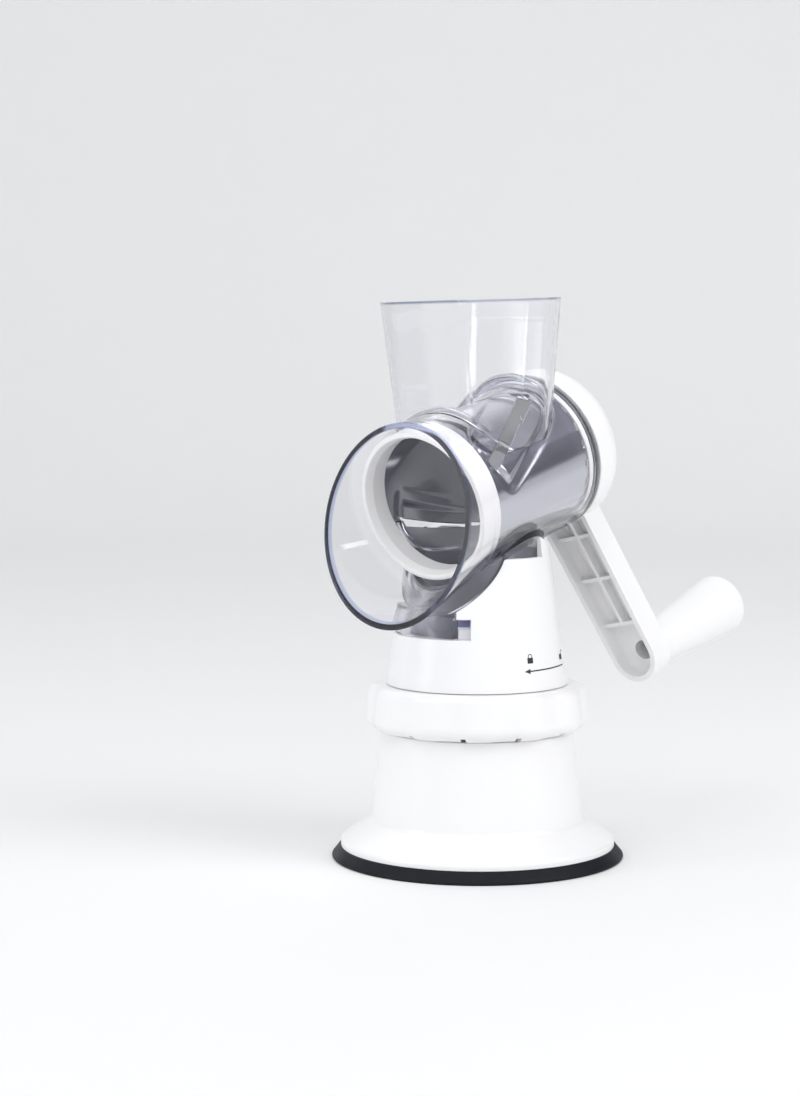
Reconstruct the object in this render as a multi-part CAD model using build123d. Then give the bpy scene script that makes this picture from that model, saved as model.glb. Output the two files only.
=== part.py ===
from build123d import *
import os
from math import atan2, cos, degrees, hypot, pi, radians, sin, sqrt, tan

# Hand-cranked drum grater on a suction foot. Millimetres, +Z up.
# The origin is on the table, at the centre of the foot. The slanted mouth faces -Y, the crank is at +Y.
# Angles round the column are counted from -Y towards +X. Along the barrel, lengths run forward (down
# towards the mouth) from the point where the barrel's axis crosses the foot's axis.

# Fits and clearances
run_gap = 0.08
hex_gap = 0.15
air_gap = 0.3
cam_gap = 0.4
lock_gap = 0.4
cut_margin = 5.0

# Suction pad
pad_radius = 65.0
pad_rim_slope = 3.7
pad_rim_height = 5.4
pad_rim_width = 11.0
pad_web = 3.4
pad_boss_radius = 15.0
pad_boss_height = 8.0

# Base shell
shell_wall = 2.6
shell_inset = 0.3
foot_edge = 2.8
foot_edge_round = 2.4
shoulder_rise = 9.0
shoulder_round = 3.0
body_foot_radius = 47.4
body_top_radius = 42.8
deck_height = 55.7
deck_thickness = 3.0
guide_radius = 11.0
guide_length = 9.0

# Pull post, its pin and spring
post_radius = 6.0
post_flange_radius = 14.0
post_flange = 2.5
post_top_margin = 5.0
pin_radius = 2.5
pin_rise = 5.5
lift_travel = 3.0
spring_wire = 1.6
spring_radius = 9.2
spring_turns = 6
spring_seat_gap = 0.1
spring_cup = 1.0

# Lock ring
ring_washer = 1.5
ring_height = 20.0
ring_lobes = 12
ring_lobe_radius = 50.2
ring_lobe_depth = 1.6
ring_lobe_round = 20.0
ring_lobe_phase = 10.0
ring_draft = 6.5
ring_top_round = 3.5
ring_bottom_round = 5.5
ring_top_web = 3.0
ring_cavity_radius = 41.0
ring_sleeve_wall = 4.0
ring_notch_phase = 2.0
ring_notch_width = 2.4
ring_notch_height = 1.8
lock_turn = 45.0

# Column
column_foot_radius = 40.3
column_top_radius = 32.5
column_top = 135.0
column_wall = 2.6
column_floor = 3.0
skirt_radius = 30.0
skirt_wall = 3.0
notch_radius = 28.4
notch_rise = 1.7
window_floor = 100.4
window_ledge = 2.4
window_right = 25.0
slot_right = 35.3
slot_roof = 109.4
slot_back_turn = 3.0
twist_turn = 30.0
column_back_top = 144.0
column_back_side = 100.5
column_back_root = 2.0
column_back_gap = 0.9
column_back_cuts = 4

# Screws that hold the column to the base shell
screw_count = 4
screw_circle = 22.6
screw_boss_radius = 4.6
screw_boss_length = 15.0
screw_hole_radius = 1.6
screw_shank_radius = 1.5
screw_shank_length = 11.0
screw_head_radius = 3.4
screw_head = 2.2
screw_drive_width = 1.0
screw_drive_depth = 0.9
screw_drive_inset = 1.0

# Barrel of the clear housing
barrel_height = 167.8
barrel_tilt = 15.0
barrel_radius = 36.4
barrel_wall = 2.2
barrel_rear = 43.0
rear_wall = 1.6
rear_recess = 0.4
rear_boss_radius = 12.0
rear_boss_length = 6.0
flare_start = 30.0
flare_angle = 9.4
mouth_reach = 56.5
mouth_lean = 7.6

# Food chute of the clear housing
chute_rim_height = 247.0
chute_width = 78.0
chute_depth = 56.5
chute_corner = 20.5
chute_draft = 5.9
chute_lean = 2.5
chute_forward = 1.5
chute_wall = 2.0
chute_blend = 3.0

# Neck of the clear housing, with its apron and lock tab
neck_radius = 29.7
neck_wall = 2.5
neck_depth = 49.0
socket_wall = 2.6
apron_inset = 0.8
apron_wall = 2.4
apron_left = -52.0
apron_right = 22.4
apron_web = 2.0
tab_height = 3.8

# Shaft and bearing
shaft_radius = 5.0
hex_flats = 8.4
shaft_reach = 22.0
bush_radius = 8.0
bush_flange_radius = 10.5
bush_flange = 1.0
clip_radius = 8.0
clip_thickness = 0.8
clip_groove = 1.0
clip_mouth = 5.0

# Drum
drum_front = 40.0
drum_ring_length = 12.0
drum_ring_radius = 33.4
drum_ring_bore = 29.8
drum_ring_mouth = 31.2
sleeve_radius = 32.4
sleeve_sheet = 0.7
sleeve_overlap = 5.0
drum_rear_gap = 0.6
hub_plate = 6.2
hub_flange_radius = 33.0
hub_flange = 2.6
hub_pocket_radius = 10.5
hub_pocket = 3.3
hub_tube_radius = 9.0
hub_tube_length = 20.0
hub_tube_end = 1.5
press_gap = 0.03
slot_count = 2
slot_first = 42.7
slot_skew = 25.4
slot_setback = 3.2
slot_length = 57.0
slot_width = 5.2
lip_width = 6.0
lip_height = 0.8
lip_overhang = 0.9
ramp_width = 13.0
ramp_depth = 1.2
ramp_corner = 6.0
ramp_wall = 0.8
crimp_count = 24
crimp_width = 3.0
crimp_length = 1.0
crimp_inset = 1.2

# Crank
cap_radius = 36.5
cap_gap = 0.4
cap_depth = 18.6
cap_round = 10.0
cap_wall = 2.6
crank_hub_radius = 9.0
crank_hub_web = 6.0
arm_angle = 23.6
arm_sideways = 5.6
arm_length = 103.3
arm_depth = 12.4
arm_wall = 2.4
arm_root_radius = 13.4
arm_root = 20.0
arm_end_radius = 12.2
arm_offset = 5.6
arm_floor = 3.4
arm_floor_round = 3.4
rib_thickness = 1.6
rib_recess = 4.0
rib_places = (43.5, 65.0, 88.0)
rib_slant = -11.6
crank_screw_radius = 1.7
crank_screw_length = 14.0
crank_screw_head_radius = 4.0
crank_screw_head = 2.4

# Grip
grip_pin_radius = 3.0
grip_pin_head_radius = 4.4
grip_pin_head = 2.0
grip_washer = 1.0
grip_washer_radius = 8.8
spigot_radius = 6.2
spigot_well_radius = 4.6
spigot_length = 10.0
spigot_wall = 2.0
grip_length = 61.5
grip_root_radius = 9.6
grip_end_radius = 14.6
grip_end_round = 4.0
grip_root_round = 1.2
grip_bore_end = 16.0
grip_bulb_radius = 3.7
grip_bulb = 3.0
grip_chamber = 8.0

# Heights and stations that follow from the sizes above
pad_top_radius = pad_radius - pad_rim_slope
body_foot = pad_rim_height + foot_edge + shoulder_rise
rim_top = deck_height + ring_washer
ring_bottom = rim_top + air_gap
ring_top = ring_bottom + ring_height
pin_height = ring_bottom + pin_rise
column_foot = ring_top + air_gap
floor_top = column_foot + column_floor
column_slope = (column_foot_radius - column_top_radius) / (column_top - column_foot)
notch_height = column_top + notch_rise
neck_bottom = column_top - neck_depth
window_left = apron_left - twist_turn - 2 * lock_gap
shelf_foot = slot_roof + lock_gap / 2
guide_foot = deck_height - guide_length
flange_top = pad_boss_height + post_flange
sleeve_bore = skirt_radius + run_gap
sleeve_outside = sleeve_bore + ring_sleeve_wall
rear_face = -(barrel_rear - rear_recess)
rear_wall_front = rear_face + rear_wall
boss_rear = rear_wall_front - rear_wall - rear_boss_length
drum_rear = rear_wall_front + drum_rear_gap
sleeve_rear = drum_rear + hub_flange + press_gap
cap_front = -(barrel_rear + cap_gap)
cap_back = cap_front - cap_depth
arm_back = cap_back + arm_offset
spigot_end = arm_back - spigot_length
spigot_seat = spigot_end + spigot_wall
hub_front = boss_rear - bush_flange - air_gap
shaft_rear = cap_back + crank_hub_web
clip_rear = rear_wall_front + air_gap

# Frames of the tilted barrel, the leaning chute and the crank arm
tilt = radians(barrel_tilt)
barrel_plane = Plane(origin=(0, 0, barrel_height), x_dir=(1, 0, 0), z_dir=(0, -cos(tilt), -sin(tilt)))
barrel_frame = barrel_plane.location
arm_turn = Rot(0, 0, arm_angle)
arm_frame = arm_turn * Pos(-arm_sideways, 0, 0)


def turned(*corners):
    """Solid of revolution about Z. Each corner is (radius, height) or (radius, height, rounding)."""
    points = [(corner[0], corner[1]) for corner in corners]
    rounds = [corner[2] if len(corner) > 2 else 0 for corner in corners]
    outline = FilletPolyline(*points, radius=rounds, close=True)
    return revolve(make_face(Plane.XZ * outline), Axis.Z)


def disc(radius, low, high):
    return Pos(0, 0, low) * Cylinder(radius, high - low, align=(Align.CENTER, Align.CENTER, Align.MIN))


def tube(outer, inner, low, high):
    return disc(outer, low, high) - disc(inner, low, high)


def swept_round(corners, first, last):
    """Outline of (radius, height) corners swept between two angles, counted from -Y towards +X."""
    face = make_face(Plane.XZ * Polyline(*corners, close=True))
    return Rot(0, 0, first - 90) * revolve(face, Axis.Z, last - first)


def sector(inner, outer, low, high, first, last):
    return swept_round([(inner, low), (outer, low), (outer, high), (inner, high)], first, last)


def hexagon(flats, low, high):
    face = Pos(0, 0, low) * RegularPolygon(flats / 2, 6, major_radius=False)
    return extrude(face, high - low)


def column_radius(height):
    return column_foot_radius - column_slope * (height - column_foot)


def suction_pad():
    """Rubber disc: sloped rim, thin web and a boss that the post's flange is bonded to."""
    rim_inner = pad_top_radius - pad_rim_width
    return turned(
        (0, 0),
        (pad_radius, 0, 0.4),
        (pad_top_radius, pad_rim_height, 0.4),
        (rim_inner, pad_rim_height, 1),
        (rim_inner, pad_web, 1),
        (pad_boss_radius, pad_web, 1.5),
        (pad_boss_radius, pad_boss_height),
        (0, pad_boss_height),
    )


def base_shell():
    """Lower body: flared foot, conical wall, deck with the post's guide and the screw holes."""
    edge = pad_top_radius - shell_inset
    edge_top = pad_rim_height + foot_edge
    deck_under = deck_height - deck_thickness
    shell = turned(
        (edge, pad_rim_height),
        (edge, edge_top, foot_edge_round),
        (body_foot_radius, body_foot, shoulder_round),
        (body_top_radius, rim_top, 0.8),
        (sleeve_outside + air_gap, rim_top),
        (sleeve_outside + air_gap, deck_height),
        (post_radius + run_gap, deck_height),
        (post_radius + run_gap, guide_foot),
        (guide_radius, guide_foot),
        (guide_radius, deck_under, 1),
        (body_top_radius - shell_wall, deck_under, 2),
        (body_foot_radius - shell_wall, body_foot - shell_wall, shoulder_round),
        (edge - shell_wall, edge_top - shell_wall / 2),
        (edge - shell_wall, pad_rim_height),
    )
    for place in PolarLocations(screw_circle, screw_count, start_angle=45):
        shell -= place * disc(screw_hole_radius + air_gap, deck_under, deck_height)
    return shell


def column_screws():
    """Pan-head screws, driven up through the deck into the column's bosses."""
    head_top = deck_height - deck_thickness
    screw = disc(screw_head_radius, head_top - screw_head, head_top)
    screw += disc(screw_shank_radius, head_top, head_top + screw_shank_length)
    recess = Pos(0, 0, head_top - screw_head) * Box(
        2 * (screw_head_radius - screw_drive_inset), screw_drive_width, 2 * screw_drive_depth
    )
    screw -= recess + Rot(0, 0, 90) * recess
    return [place * screw for place in PolarLocations(screw_circle, screw_count, start_angle=45)]


def lobed_outline():
    """Closed outline of the lock ring: convex lobes and concave recesses that run into each other."""
    half = pi / ring_lobes
    recess_radius = ring_lobe_radius - ring_lobe_depth
    lobe_centre = ring_lobe_radius - ring_lobe_round
    top = ring_lobe_round**2 - lobe_centre**2 - recess_radius**2 + 2 * lobe_centre * recess_radius * cos(half)
    recess_round = top / (2 * (recess_radius - lobe_centre * cos(half) - ring_lobe_round))
    recess_centre = recess_radius + recess_round
    across = recess_centre * cos(half) - lobe_centre
    aside = recess_centre * sin(half)
    share = ring_lobe_round / hypot(across, aside)
    meet_radius = hypot(lobe_centre + share * across, share * aside)
    meet_angle = atan2(share * aside, lobe_centre + share * across)

    def polar(radius, angle):
        return (radius * cos(angle), radius * sin(angle))

    arcs = []
    for lobe in range(ring_lobes):
        middle = radians(ring_lobe_phase - 90) + 2 * half * lobe
        arcs.append(
            ThreePointArc(
                polar(meet_radius, middle - meet_angle),
                polar(ring_lobe_radius, middle),
                polar(meet_radius, middle + meet_angle),
            )
        )
        arcs.append(
            ThreePointArc(
                polar(meet_radius, middle + meet_angle),
                polar(recess_radius, middle + half),
                polar(meet_radius, middle + 2 * half - meet_angle),
            )
        )
    return make_face(Wire(arcs))


def lock_ring():
    """Lobed ring with an inner sleeve that turns on the column's skirt and lifts the pin in two cam slots."""
    ring = extrude(Pos(0, 0, ring_bottom) * lobed_outline(), ring_height, taper=ring_draft)
    ring = fillet(ring.faces().sort_by(Axis.Z)[-1].edges(), ring_top_round)
    ring = fillet(ring.faces().sort_by(Axis.Z)[0].edges(), ring_bottom_round)
    ring -= disc(sleeve_bore, ring_bottom, ring_top)
    ring -= tube(ring_cavity_radius, sleeve_outside, ring_bottom, ring_top - ring_top_web)
    skin = ring_lobe_radius - ring_cavity_radius + 1
    notch = Pos(ring_cavity_radius - 1 + skin / 2, 0, ring_bottom) * Box(
        skin, ring_notch_width, 2 * ring_notch_height
    )
    for lobe in range(ring_lobes):
        ring -= Rot(0, 0, ring_notch_phase - 90 + lobe * 360 / ring_lobes) * notch
    middle = sleeve_bore + ring_sleeve_wall / 2
    half_turn = lock_turn / 2
    slot_reach = 2 * middle * sin(radians(half_turn))
    slope = degrees(atan2(lift_travel, slot_reach))
    slot = SlotCenterToCenter(slot_reach, 2 * (pin_radius + cam_gap), rotation=slope)
    slot_floor = sleeve_bore * cos(radians(half_turn)) - 2
    for start in (0, 180):
        outward = radians(start + half_turn)
        face = Plane(
            origin=(slot_floor * cos(outward), slot_floor * sin(outward), pin_height + lift_travel / 2),
            x_dir=(-sin(outward), cos(outward), 0),
            z_dir=(cos(outward), sin(outward), 0),
        )
        ring -= extrude(face * slot, sleeve_outside - slot_floor + 1)
    return ring


def ring_slide_washer():
    return tube(sleeve_outside, skirt_radius + air_gap, deck_height, rim_top)


def saddle_tool(turn):
    """Round-bottomed notch in the column's front, turned about the column's axis."""
    notch = Pos(0, -column_foot_radius / 2, notch_height) * Rot(90, 0, 0) * Cylinder(
        notch_radius, column_foot_radius
    )
    return Rot(0, 0, turn) * notch


def column_back():
    """Raised wall behind the barrel, hollowed so that the barrel passes over it as the housing twists."""
    root = column_top - column_back_root
    inner = column_top_radius - column_wall
    back = swept_round(
        [
            (column_radius(root) - column_wall, root),
            (column_radius(root), root),
            (column_radius(column_back_top), column_back_top),
            (inner, column_back_top),
            (inner, column_top),
        ],
        column_back_side,
        360 - column_back_side,
    )
    barrel = barrel_frame * disc(barrel_radius + column_back_gap, -barrel_rear - cut_margin, flare_start)
    for cut in range(column_back_cuts):
        back -= Rot(0, 0, -twist_turn * cut / (column_back_cuts - 1)) * barrel
    return back


def column():
    """Upper body: conical wall, floor, skirt for the lock ring, neck socket, window and twist-lock slot."""
    socket_bore = neck_radius + run_gap
    socket_out = socket_bore + socket_wall
    ledge_low = window_floor - window_ledge
    body = turned(
        (0, column_foot),
        (column_foot_radius, column_foot),
        (column_top_radius, column_top, 1.0),
        (column_top_radius - column_wall, column_top, 0.6),
        (column_radius(window_floor) - column_wall, window_floor),
        (socket_bore, window_floor, 0.5),
        (socket_bore, floor_top),
        (0, floor_top),
    )
    body -= turned(
        (socket_out, floor_top),
        (column_radius(floor_top) - column_wall, floor_top),
        (column_radius(ledge_low) - column_wall, ledge_low),
        (socket_out, ledge_low),
    )
    outside = column_foot_radius + cut_margin
    body -= sector(socket_out, outside, window_floor, column_top + cut_margin, window_left, window_right)
    body -= sector(socket_out, outside, window_floor, slot_roof, window_right - 1, slot_right)
    body += sector(socket_bore + air_gap, socket_out, ledge_low, slot_roof, window_right, slot_right + slot_back_turn)
    body -= saddle_tool(0) + saddle_tool(-twist_turn)
    body += column_back()
    skirt = tube(skirt_radius, skirt_radius - skirt_wall, deck_height, column_foot)
    bosses = [
        place * disc(screw_boss_radius, deck_height, deck_height + screw_boss_length)
        for place in PolarLocations(screw_circle, screw_count, start_angle=45)
    ]
    skirt += bosses
    for place in PolarLocations(screw_circle, screw_count, start_angle=45):
        skirt -= place * disc(screw_hole_radius, deck_height, deck_height + screw_shank_length)
    pin_way = Rot(0, 90, 0) * Cylinder(pin_radius + cam_gap, 2 * skirt_radius + 2)
    path_low = Pos(0, 0, pin_height) * pin_way
    path_high = Pos(0, 0, pin_height + lift_travel) * pin_way
    between = Pos(0, 0, pin_height + lift_travel / 2) * Box(
        2 * skirt_radius + 2, 2 * (pin_radius + cam_gap), lift_travel
    )
    return body + (skirt - (path_low + path_high + between))


def pull_post():
    post = turned(
        (0, pad_boss_height),
        (post_flange_radius, pad_boss_height, 0.4),
        (post_flange_radius, flange_top, 0.4),
        (post_radius, flange_top, 0.8),
        (post_radius, pin_height + pin_radius + post_top_margin, 1),
        (0, pin_height + pin_radius + post_top_margin),
    )
    return post - Pos(0, 0, pin_height) * Rot(0, 90, 0) * Cylinder(pin_radius + press_gap, 3 * post_radius)


def cross_pin():
    length = 2 * (sleeve_outside - air_gap)
    pin = Pos(0, 0, pin_height) * Rot(0, 90, 0) * Cylinder(pin_radius, length)
    return chamfer(pin.edges().filter_by(GeomType.CIRCLE), 0.4)


def spring_cup_washer():
    return tube(guide_radius, post_radius + air_gap, guide_foot - spring_cup, guide_foot)


def coil_path(low, high):
    """Helix made of tangent arcs, two for each quarter turn."""
    climb = (high - low) / (2 * pi * spring_turns)

    def point(angle):
        return Vector(spring_radius * cos(angle), spring_radius * sin(angle), low + climb * angle)

    def heading(angle):
        return Vector(-spring_radius * sin(angle), spring_radius * cos(angle), climb).normalized()

    arcs = []
    for quarter in range(4 * spring_turns):
        start = quarter * pi / 2
        end = start + pi / 2
        first, last = point(start), point(end)
        leave, arrive = heading(start), heading(end)
        chord = last - first
        both = leave + arrive
        lead = 2 * (1 - leave.dot(arrive))
        along = chord.dot(both)
        reach = (-along + sqrt(along**2 + lead * chord.dot(chord))) / lead
        before = first + leave * reach
        after = last - arrive * reach
        meet = (before + after) * 0.5
        arcs.append(TangentArc(first, meet, tangent=leave))
        arcs.append(TangentArc(meet, last, tangent=after - before))
    return Wire(arcs)


def return_spring():
    """Coil spring round the post, from the post's flange up to the cup washer."""
    margin = spring_wire / 2 + spring_seat_gap
    low = flange_top + margin
    high = guide_foot - spring_cup - margin
    path = coil_path(low, high)
    samples = [path @ (step / (60 * spring_turns)) for step in range(60 * spring_turns + 1)]
    gap = min(
        (samples[i] - samples[j]).length
        for i in range(len(samples))
        for j in range(i + 30, len(samples))
    )
    print("return spring: least gap between turns", round(gap - spring_wire, 2), "mm")
    start = Plane(origin=path @ 0, z_dir=path % 0)
    return sweep(start * Circle(spring_wire / 2), path=path)


def barrel_outside():
    """Outer form of the barrel with its flare, cut off by the leaning mouth plane."""
    reach = mouth_reach + 2 * barrel_radius
    flare_end = barrel_radius + (reach - flare_start) * tan(radians(flare_angle))
    body = turned((0, -barrel_rear), (barrel_radius, -barrel_rear, 0.6), (barrel_radius, flare_start, 40),
                  (flare_end, reach), (0, reach))
    lean = barrel_tilt + mouth_lean
    front = Pos(0, 0, mouth_reach) * Rot(-lean, 0, 0) * Box(
        6 * barrel_radius, 6 * barrel_radius, 4 * barrel_radius, align=(Align.CENTER, Align.CENTER, Align.MIN)
    )
    return barrel_frame * (body - front)


def barrel_bore():
    reach = mouth_reach + 2 * barrel_radius
    bore = barrel_radius - barrel_wall
    flare_end = bore + (reach - flare_start) * tan(radians(flare_angle))
    return barrel_frame * turned(
        (0, rear_wall_front), (bore, rear_wall_front, 1), (bore, flare_start, 40), (flare_end, reach), (0, reach)
    )


def chute_form(inset):
    """Drafted round-cornered funnel from the rim down to the barrel's axis, drawn in by a wall."""
    lean = radians(chute_lean)
    drop = (chute_rim_height - barrel_height) / cos(lean)
    narrow = drop * tan(radians(chute_draft))
    frame = Pos(0, -chute_forward, barrel_height) * Rot(chute_lean, 0, 0)

    def section(height, shrink):
        corner = max(chute_corner - shrink, chute_wall)
        outline = RectangleRounded(chute_width - 2 * shrink, chute_depth - 2 * shrink, corner)
        return frame * Pos(0, 0, height) * outline

    return loft([section(0, narrow + inset), section(drop, inset)], ruled=True)


def apron():
    """Curved skirt below the mouth that fills the column's window, with the lock tab at its right edge."""
    low = window_floor + lock_gap
    shelf = shelf_foot
    shelf_top = shelf + apron_web
    tab_top = slot_roof - lock_gap
    back = neck_radius - neck_wall / 2
    reach = column_foot_radius + cut_margin

    def outer(height):
        return column_radius(height) - apron_inset

    def inner(height):
        return outer(height) - apron_wall

    block = swept_round(
        [(back, low), (outer(low), low), (outer(notch_height), notch_height), (back, notch_height)], -80, 80
    )
    hollow_top = notch_height - (neck_radius - inner(notch_height)) / column_slope
    block -= swept_round([(back - 1, low - 1), (inner(low - 1), low - 1), (inner(shelf), shelf), (back - 1, shelf)],
                         -85, 85)
    block -= swept_round(
        [(neck_radius, shelf_top), (inner(shelf_top), shelf_top), (neck_radius, hollow_top)], -85, 85
    )
    kept = Pos(0, -reach / 2, notch_height) * Rot(90, 0, 0) * Cylinder(notch_radius - 3 * lock_gap, reach)
    kept += sector(back - 5, reach, low - 2, shelf_top, apron_left, apron_right)
    kept += sector(back - 4, reach - 1, tab_top - tab_height, tab_top, apron_right - 2, slot_right - 1)
    return block & kept


def housing():
    """Clear moulding: barrel with mouth and rear bearing boss, food chute, neck, apron and lock tab."""
    outside = barrel_outside()
    body = outside + chute_form(0)
    seam = [edge for edge in body.edges() if on_seam(edge)]
    body = fillet(seam, chute_blend)
    neck = tube(neck_radius, neck_radius - neck_wall, neck_bottom, barrel_height - barrel_radius / 2)
    boss = barrel_frame * disc(rear_boss_radius, boss_rear, rear_wall_front)
    body += neck
    body += apron()
    body += boss
    body -= barrel_frame * disc(barrel_radius - barrel_wall, -barrel_rear, rear_face) - boss
    body -= barrel_bore() + chute_form(chute_wall)
    return body - barrel_frame * disc(bush_radius + press_gap, boss_rear, rear_wall_front)


def on_seam(edge):
    """True for an edge where the chute's wall meets the barrel."""
    middle = barrel_plane.to_local_coords(edge @ 0.5)
    away = abs(hypot(middle.X, middle.Y) - barrel_radius)
    inside = -barrel_rear + 1 < middle.Z < flare_start
    return inside and away < 0.2 and middle.Y > 0 and edge.length > 1 and edge.geom_type != GeomType.LINE


def shaft_bush():
    bush = tube(bush_radius, shaft_radius + run_gap, boss_rear, rear_wall_front)
    bush += tube(bush_flange_radius, shaft_radius + run_gap, boss_rear - bush_flange, boss_rear)
    return barrel_frame * bush


def drive_shaft():
    """Round journal between two hexagons, a clip groove and a tapped hole in the rear end."""
    front = rear_wall_front + shaft_reach
    shaft = hexagon(hex_flats, shaft_rear, front)
    shaft += disc(shaft_radius, hub_front, rear_wall_front)
    groove_end = clip_rear + clip_thickness + run_gap
    groove = tube(2 * shaft_radius, shaft_radius - clip_groove, clip_rear - run_gap, groove_end)
    shaft -= groove
    tapped = crank_screw_length - crank_hub_web + 1
    shaft -= disc(crank_screw_radius + press_gap, shaft_rear, shaft_rear + tapped)
    return barrel_frame * shaft


def shaft_clip():
    bore = shaft_radius - clip_groove + run_gap
    clip = tube(clip_radius, bore, clip_rear, clip_rear + clip_thickness)
    mouth = Pos(0, clip_radius, clip_rear) * Box(clip_mouth, 2 * clip_radius, 4 * clip_thickness)
    return barrel_frame * (clip - mouth)


def drum_front_ring():
    """Moulded ring at the drum's open end, with a groove that takes the sleeve's edge."""
    back = drum_front - drum_ring_length
    groove_out = sleeve_radius + press_gap
    groove_in = sleeve_radius - sleeve_sheet - press_gap
    return barrel_frame * turned(
        (drum_ring_radius, back, 0.3),
        (drum_ring_radius, drum_front, 0.8),
        (drum_ring_mouth, drum_front, 0.6),
        (drum_ring_bore, drum_front - drum_ring_length / 3, 1),
        (drum_ring_bore, back, 0.4),
        (groove_in, back),
        (groove_in, back + sleeve_overlap),
        (groove_out, back + sleeve_overlap),
        (groove_out, back),
    )


def slot_prism(across, width, length, corners=0.0):
    """Prism through the sleeve's wall, laid along a skewed slot and moved across it, towards the lip."""
    skew = radians(slot_skew)
    turn = degrees(across * cos(skew) / sleeve_radius)
    outline = Rectangle(width, length)
    if corners:
        outline = fillet(outline.vertices().sort_by(Axis.X)[:2], corners)
    face = Plane(
        origin=(0, sleeve_radius / 2, -slot_setback - across * sin(skew)),
        x_dir=(cos(skew), 0, -sin(skew)),
        z_dir=(0, 1, 0),
    )
    return Rot(0, 0, -turn) * extrude(face * outline, sleeve_radius)


def drum_sleeve():
    """Rolled sheet sleeve with skewed slicing slots: each has a raised cutting lip and a pressed-in ramp."""
    front = drum_front - drum_ring_length + sleeve_overlap
    inside = sleeve_radius - sleeve_sheet
    ramp_floor = inside - ramp_depth
    sleeve = tube(sleeve_radius, inside, sleeve_rear, front)
    panel_length = slot_length - slot_width
    ramp_reach = slot_width / 2 + ramp_width
    basin = slot_prism(-ramp_reach / 2, ramp_reach, panel_length, ramp_corner)
    basin &= tube(sleeve_radius - press_gap, ramp_floor, sleeve_rear, front)
    inner_corner = ramp_corner - ramp_wall
    hollow = slot_prism(-(ramp_reach - ramp_wall) / 2, ramp_reach - ramp_wall, panel_length - 2 * ramp_wall, inner_corner)
    basin -= hollow & tube(sleeve_radius + cut_margin, ramp_floor + sleeve_sheet, sleeve_rear, front)
    slit = slot_prism(0, slot_width, slot_length)
    lip = slot_prism((slot_width + lip_width - lip_overhang) / 2, lip_width + lip_overhang, panel_length)
    lip &= tube(sleeve_radius + lip_height, inside + press_gap, sleeve_rear, front)
    for slot in range(slot_count):
        turn = Rot(0, 0, -slot_first - slot * 360 / slot_count)
        sleeve -= turn * hollow
        sleeve += turn * basin
        sleeve -= turn * slit
        sleeve += turn * lip
    sheet_middle = sleeve_radius - sleeve_sheet / 2
    hole = Pos(0, sheet_middle, sleeve_rear + crimp_inset) * Box(crimp_width, 4 * sleeve_sheet, crimp_length)
    for place in range(crimp_count):
        sleeve -= Rot(0, 0, (place + 0.5) * 360 / crimp_count) * hole
    return barrel_frame * sleeve


def drum_rear_hub():
    """Rear end of the drum: flange, plate inside the sleeve, pocket for the clip and a hexagonal drive socket."""
    plate_front = drum_rear + hub_plate
    tube_front = plate_front + hub_tube_length
    hub = disc(sleeve_radius - sleeve_sheet - press_gap, drum_rear, plate_front)
    hub += disc(hub_flange_radius, drum_rear, drum_rear + hub_flange)
    hub += disc(hub_tube_radius, plate_front, tube_front)
    hub -= disc(hub_pocket_radius, drum_rear, drum_rear + hub_pocket)
    hub -= hexagon(hex_flats + 2 * hex_gap, drum_rear, tube_front - hub_tube_end)
    return barrel_frame * hub


def arm_outline(inset):
    root = Pos(0, -arm_root) * Circle(arm_root_radius - inset)
    end = Pos(0, -arm_length) * Circle(arm_end_radius - inset)
    return arm_frame * make_hull((root + end).edges())


def crank():
    """Round cap behind the barrel with a hub, and a channel-shaped arm with ribs and the grip's spigot."""
    cap = turned((0, cap_back), (cap_radius, cap_back, cap_round), (cap_radius, cap_front, 0.8), (0, cap_front))
    inner = cap_radius - cap_wall
    floor = cap_back + cap_wall
    hollow = turned((0, floor), (inner, floor, cap_round - cap_wall), (inner, cap_front), (0, cap_front))
    arm = extrude(Pos(0, 0, arm_back) * arm_outline(0), arm_depth)
    channel = extrude(Pos(0, 0, arm_back + arm_floor) * arm_outline(arm_wall), arm_depth)
    channel = fillet(channel.faces().sort_by(Axis.Z)[0].edges(), arm_floor_round)
    rib_height = arm_depth - rib_recess
    rib_low = Align.MIN
    ribs = Pos(0, -rib_places[-1] / 2, arm_back) * Box(
        rib_thickness, rib_places[-1], rib_height, align=(Align.CENTER, Align.CENTER, rib_low)
    )
    for place in rib_places:
        ribs += Pos(0, -place, arm_back) * Rot(0, 0, rib_slant) * Box(
            3 * arm_root_radius, rib_thickness, rib_height, align=(Align.CENTER, Align.CENTER, rib_low)
        )
    ribs = arm_frame * ribs & arm
    body = cap + (arm - channel) + ribs
    body -= hollow
    body += disc(crank_hub_radius, cap_back + cap_wall / 2, hub_front)
    body -= hexagon(hex_flats + 2 * press_gap, shaft_rear, hub_front)
    body -= disc(crank_screw_radius + air_gap, cap_back, shaft_rear)
    body -= disc(crank_screw_head_radius + air_gap, cap_back, cap_back + crank_screw_head + air_gap)
    pin_spot = arm_frame * Pos(0, -arm_length, 0)
    body += pin_spot * disc(spigot_radius, spigot_end, arm_back + arm_floor / 2)
    body -= pin_spot * disc(spigot_well_radius, spigot_seat, arm_back + arm_floor)
    body -= pin_spot * disc(grip_pin_radius + press_gap, spigot_end, spigot_seat)
    return barrel_frame * body


def crank_screw():
    """Pan-head screw into the shaft's rear end."""
    head_low = cap_back + air_gap
    screw = disc(crank_screw_head_radius, head_low, head_low + crank_screw_head)
    screw += disc(crank_screw_radius, head_low + crank_screw_head, head_low + crank_screw_length)
    slot = Pos(0, 0, head_low) * Box(
        2 * (crank_screw_head_radius - screw_drive_inset), screw_drive_width, 2 * screw_drive_depth
    )
    return barrel_frame * (screw - (slot + Rot(0, 0, 90) * slot))


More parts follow.
